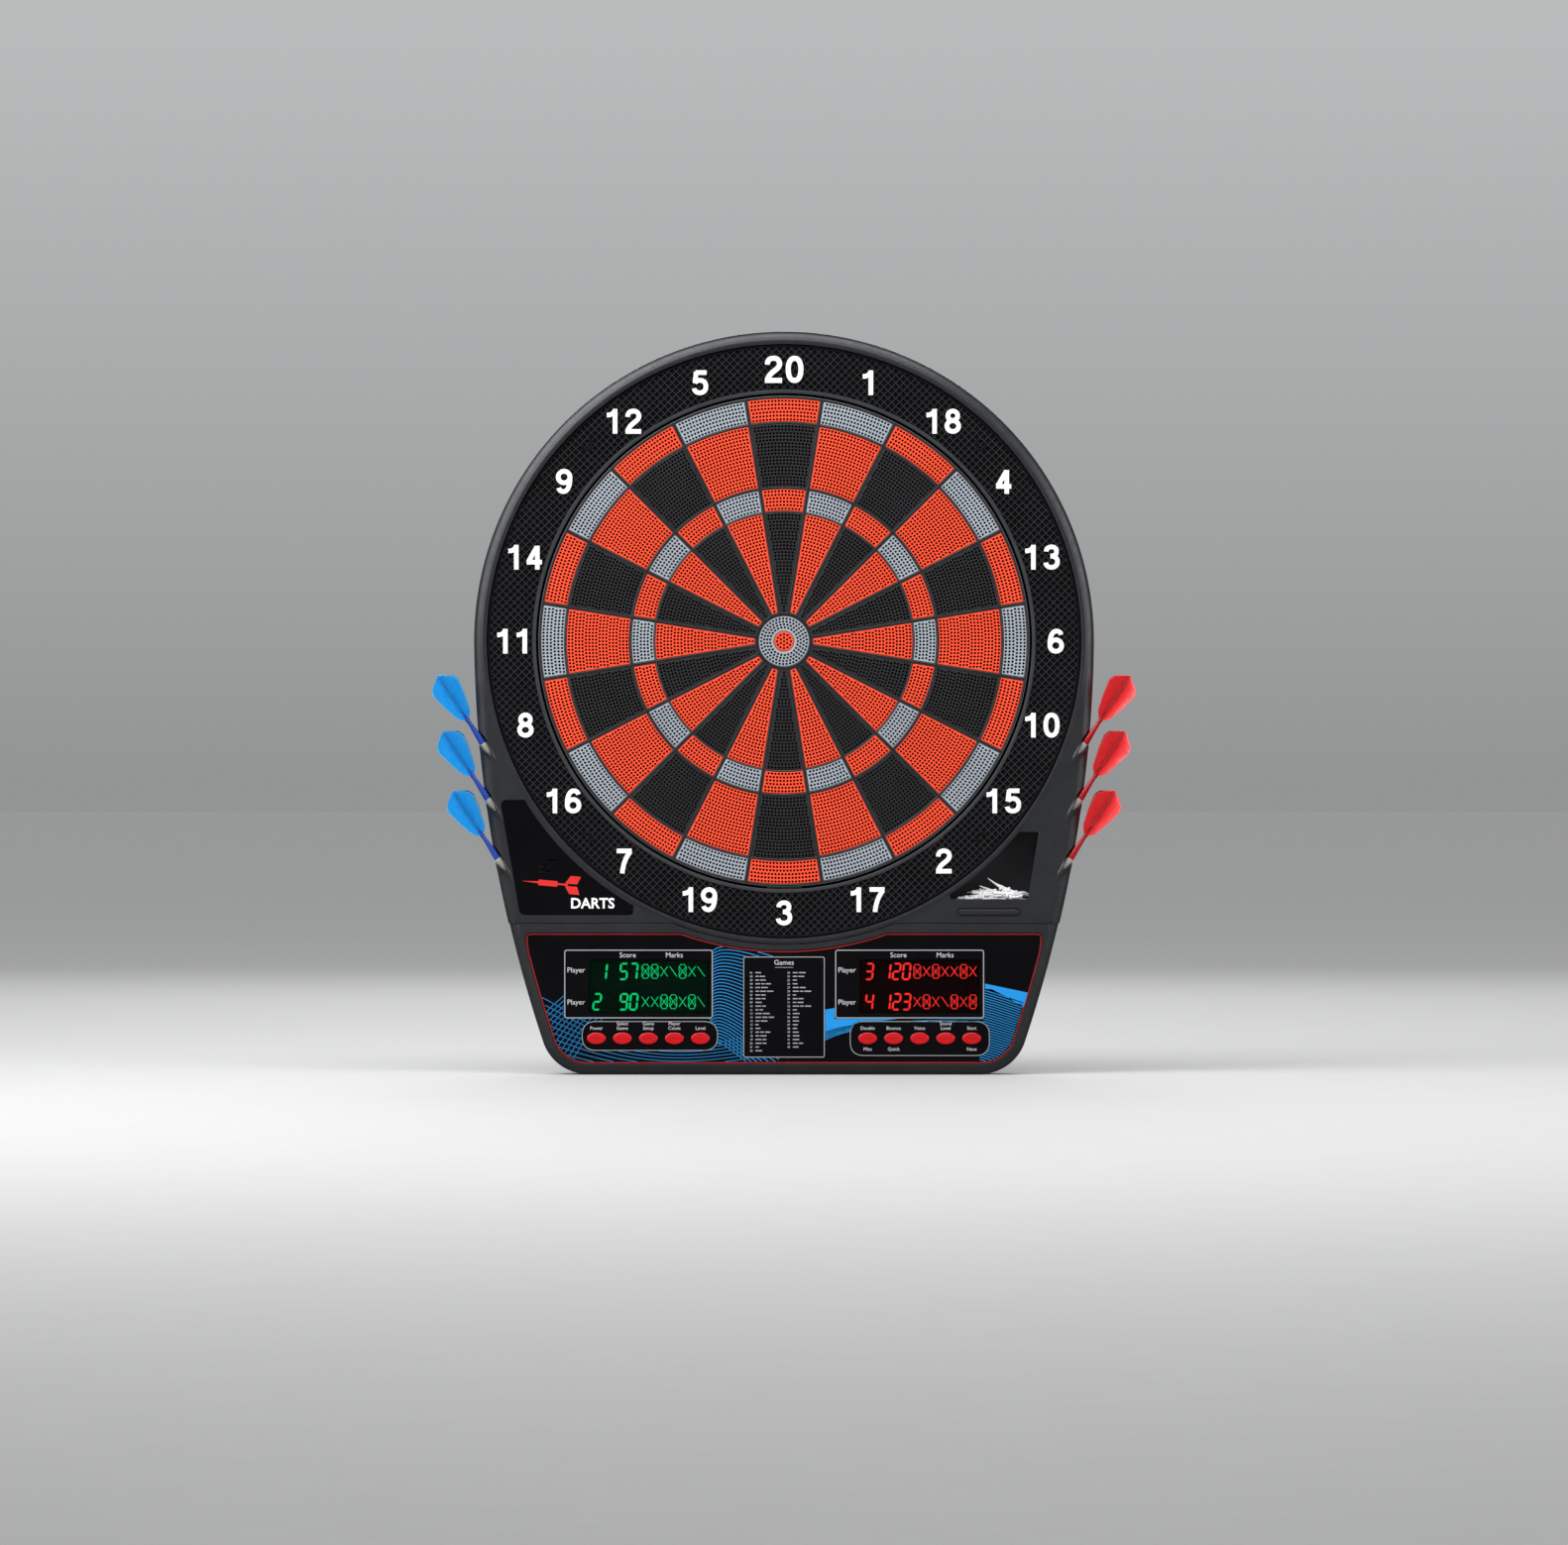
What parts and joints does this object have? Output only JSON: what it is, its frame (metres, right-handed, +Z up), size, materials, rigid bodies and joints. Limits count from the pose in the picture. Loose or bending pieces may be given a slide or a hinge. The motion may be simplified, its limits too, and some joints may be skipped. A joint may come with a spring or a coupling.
{
  "type": "electronic dartboard",
  "caption": "Wall-hung electronic soft-tip dartboard with a sprung segment target, scoring console, side holsters with darts, and a bin of spare tips.",
  "frame": {"origin": "the flat back that lies on the wall, straight behind the bull", "axes": "+Z up as the board hangs, the face looks along -Y, +X is the player's right"},
  "size_m": [0.5656, 0.0485, 0.6],
  "materials": {
    "housing_plastic": "fine-grained satin charcoal ABS",
    "black_plastic": "satin black",
    "segment_black": "satin black polypropylene",
    "segment_red": "satin orange-red polypropylene",
    "segment_grey": "satin mid grey polypropylene",
    "gloss_black": "glossy black sheet",
    "membrane_film": "translucent printed film",
    "black_rubber": "soft matt rubber",
    "circuit_board": "solder-masked fibreglass",
    "led_green": "green LED segments",
    "led_red": "red LED segments",
    "display_lens": "tinted clear acrylic",
    "button_red": "glossy red",
    "bare_metal": "bright nickel-plated",
    "white_plastic": "white nylon or print",
    "dart_blue": "metal barrel with blue shaft and film flight",
    "dart_red": "metal barrel with red shaft and film flight"
  },
  "bodies": {
    "root": {"rear_cover": "black_plastic", "front_bezel": "housing_plastic", "control_bezel": "housing_plastic", "catch_ring": "black_plastic", "spider": "black_plastic", "backing_plate": "black_plastic", "contact_membrane": "membrane_film", "segment_cushion": "black_rubber", "corner_plate": "gloss_black", "speaker": "bare_metal", "tip_bin": "housing_plastic", "spare_tips": "white_plastic", "graphic_panel": "gloss_black", "control_board": "circuit_board", "dc_jack": "black_plastic", "display_window_left": "display_lens", "led_module_left": "led_green", "keypad_left": "black_rubber", "display_window_right": "display_lens", "led_module_right": "led_red", "keypad_right": "black_rubber"},
    "dart_left_1": {"dart_left_1": "dart_blue"},
    "dart_left_2": {"dart_left_2": "dart_blue"},
    "dart_left_3": {"dart_left_3": "dart_blue"},
    "dart_right_1": {"dart_right_1": "dart_red"},
    "dart_right_2": {"dart_right_2": "dart_red"},
    "dart_right_3": {"dart_right_3": "dart_red"},
    "button_left_1": {"button_left_1": "button_red"},
    "button_left_2": {"button_left_2": "button_red"},
    "button_left_3": {"button_left_3": "button_red"},
    "button_left_4": {"button_left_4": "button_red"},
    "button_left_5": {"button_left_5": "button_red"},
    "button_right_1": {"button_right_1": "button_red"},
    "button_right_2": {"button_right_2": "button_red"},
    "button_right_3": {"button_right_3": "button_red"},
    "button_right_4": {"button_right_4": "button_red"},
    "button_right_5": {"button_right_5": "button_red"},
    "sector_20": {"sector_20": "segment_black"},
    "sector_1": {"sector_1": "segment_red"},
    "sector_18": {"sector_18": "segment_black"},
    "sector_4": {"sector_4": "segment_red"},
    "sector_13": {"sector_13": "segment_black"},
    "sector_6": {"sector_6": "segment_red"},
    "sector_10": {"sector_10": "segment_black"},
    "sector_15": {"sector_15": "segment_red"},
    "sector_2": {"sector_2": "segment_black"},
    "sector_17": {"sector_17": "segment_red"},
    "sector_3": {"sector_3": "segment_black"},
    "sector_19": {"sector_19": "segment_red"},
    "sector_7": {"sector_7": "segment_black"},
    "sector_16": {"sector_16": "segment_red"},
    "sector_8": {"sector_8": "segment_black"},
    "sector_11": {"sector_11": "segment_red"},
    "sector_14": {"sector_14": "segment_black"},
    "sector_9": {"sector_9": "segment_red"},
    "sector_12": {"sector_12": "segment_black"},
    "sector_5": {"sector_5": "segment_red"},
    "bull_ring": {"bull_ring": "segment_grey"},
    "bullseye": {"bullseye": "segment_red"}
  },
  "joints": [
    {"name": "dart_left_1_pull", "type": "slide", "parent": "root", "child": "dart_left_1", "axis": [-0.5506, -0.0698, 0.8319], "range_m": [0, 0.08]},
    {"name": "dart_left_2_pull", "type": "slide", "parent": "root", "child": "dart_left_2", "axis": [-0.5506, -0.0698, 0.8319], "range_m": [0, 0.08]},
    {"name": "dart_left_3_pull", "type": "slide", "parent": "root", "child": "dart_left_3", "axis": [-0.5506, -0.0698, 0.8319], "range_m": [0, 0.08]},
    {"name": "dart_right_1_pull", "type": "slide", "parent": "root", "child": "dart_right_1", "axis": [0.5506, -0.0698, 0.8319], "range_m": [0, 0.08]},
    {"name": "dart_right_2_pull", "type": "slide", "parent": "root", "child": "dart_right_2", "axis": [0.5506, -0.0698, 0.8319], "range_m": [0, 0.08]},
    {"name": "dart_right_3_pull", "type": "slide", "parent": "root", "child": "dart_right_3", "axis": [0.5506, -0.0698, 0.8319], "range_m": [0, 0.08]},
    {"name": "button_left_1_press", "type": "slide", "parent": "root", "child": "button_left_1", "axis": [0, 1, 0], "range_m": [0, 0.0012], "stiffness_N_per_m": 500},
    {"name": "button_left_2_press", "type": "slide", "parent": "root", "child": "button_left_2", "axis": [0, 1, 0], "range_m": [0, 0.0012], "stiffness_N_per_m": 500},
    {"name": "button_left_3_press", "type": "slide", "parent": "root", "child": "button_left_3", "axis": [0, 1, 0], "range_m": [0, 0.0012], "stiffness_N_per_m": 500},
    {"name": "button_left_4_press", "type": "slide", "parent": "root", "child": "button_left_4", "axis": [0, 1, 0], "range_m": [0, 0.0012], "stiffness_N_per_m": 500},
    {"name": "button_left_5_press", "type": "slide", "parent": "root", "child": "button_left_5", "axis": [0, 1, 0], "range_m": [0, 0.0012], "stiffness_N_per_m": 500},
    {"name": "button_right_1_press", "type": "slide", "parent": "root", "child": "button_right_1", "axis": [0, 1, 0], "range_m": [0, 0.0012], "stiffness_N_per_m": 500},
    {"name": "button_right_2_press", "type": "slide", "parent": "root", "child": "button_right_2", "axis": [0, 1, 0], "range_m": [0, 0.0012], "stiffness_N_per_m": 500},
    {"name": "button_right_3_press", "type": "slide", "parent": "root", "child": "button_right_3", "axis": [0, 1, 0], "range_m": [0, 0.0012], "stiffness_N_per_m": 500},
    {"name": "button_right_4_press", "type": "slide", "parent": "root", "child": "button_right_4", "axis": [0, 1, 0], "range_m": [0, 0.0012], "stiffness_N_per_m": 500},
    {"name": "button_right_5_press", "type": "slide", "parent": "root", "child": "button_right_5", "axis": [0, 1, 0], "range_m": [0, 0.0012], "stiffness_N_per_m": 500},
    {"name": "sector_20_press", "type": "slide", "parent": "root", "child": "sector_20", "axis": [0, 1, 0], "range_m": [0, 0.0014], "stiffness_N_per_m": 900},
    {"name": "sector_1_press", "type": "slide", "parent": "root", "child": "sector_1", "axis": [0, 1, 0], "range_m": [0, 0.0014], "stiffness_N_per_m": 900},
    {"name": "sector_18_press", "type": "slide", "parent": "root", "child": "sector_18", "axis": [0, 1, 0], "range_m": [0, 0.0014], "stiffness_N_per_m": 900},
    {"name": "sector_4_press", "type": "slide", "parent": "root", "child": "sector_4", "axis": [0, 1, 0], "range_m": [0, 0.0014], "stiffness_N_per_m": 900},
    {"name": "sector_13_press", "type": "slide", "parent": "root", "child": "sector_13", "axis": [0, 1, 0], "range_m": [0, 0.0014], "stiffness_N_per_m": 900},
    {"name": "sector_6_press", "type": "slide", "parent": "root", "child": "sector_6", "axis": [0, 1, 0], "range_m": [0, 0.0014], "stiffness_N_per_m": 900},
    {"name": "sector_10_press", "type": "slide", "parent": "root", "child": "sector_10", "axis": [0, 1, 0], "range_m": [0, 0.0014], "stiffness_N_per_m": 900},
    {"name": "sector_15_press", "type": "slide", "parent": "root", "child": "sector_15", "axis": [0, 1, 0], "range_m": [0, 0.0014], "stiffness_N_per_m": 900},
    {"name": "sector_2_press", "type": "slide", "parent": "root", "child": "sector_2", "axis": [0, 1, 0], "range_m": [0, 0.0014], "stiffness_N_per_m": 900},
    {"name": "sector_17_press", "type": "slide", "parent": "root", "child": "sector_17", "axis": [0, 1, 0], "range_m": [0, 0.0014], "stiffness_N_per_m": 900},
    {"name": "sector_3_press", "type": "slide", "parent": "root", "child": "sector_3", "axis": [0, 1, 0], "range_m": [0, 0.0014], "stiffness_N_per_m": 900},
    {"name": "sector_19_press", "type": "slide", "parent": "root", "child": "sector_19", "axis": [0, 1, 0], "range_m": [0, 0.0014], "stiffness_N_per_m": 900},
    {"name": "sector_7_press", "type": "slide", "parent": "root", "child": "sector_7", "axis": [0, 1, 0], "range_m": [0, 0.0014], "stiffness_N_per_m": 900},
    {"name": "sector_16_press", "type": "slide", "parent": "root", "child": "sector_16", "axis": [0, 1, 0], "range_m": [0, 0.0014], "stiffness_N_per_m": 900},
    {"name": "sector_8_press", "type": "slide", "parent": "root", "child": "sector_8", "axis": [0, 1, 0], "range_m": [0, 0.0014], "stiffness_N_per_m": 900},
    {"name": "sector_11_press", "type": "slide", "parent": "root", "child": "sector_11", "axis": [0, 1, 0], "range_m": [0, 0.0014], "stiffness_N_per_m": 900},
    {"name": "sector_14_press", "type": "slide", "parent": "root", "child": "sector_14", "axis": [0, 1, 0], "range_m": [0, 0.0014], "stiffness_N_per_m": 900},
    {"name": "sector_9_press", "type": "slide", "parent": "root", "child": "sector_9", "axis": [0, 1, 0], "range_m": [0, 0.0014], "stiffness_N_per_m": 900},
    {"name": "sector_12_press", "type": "slide", "parent": "root", "child": "sector_12", "axis": [0, 1, 0], "range_m": [0, 0.0014], "stiffness_N_per_m": 900},
    {"name": "sector_5_press", "type": "slide", "parent": "root", "child": "sector_5", "axis": [0, 1, 0], "range_m": [0, 0.0014], "stiffness_N_per_m": 900},
    {"name": "bull_ring_press", "type": "slide", "parent": "root", "child": "bull_ring", "axis": [0, 1, 0], "range_m": [0, 0.0014], "stiffness_N_per_m": 600},
    {"name": "bullseye_press", "type": "slide", "parent": "root", "child": "bullseye", "axis": [0, 1, 0], "range_m": [0, 0.0014], "stiffness_N_per_m": 600}
  ]
}
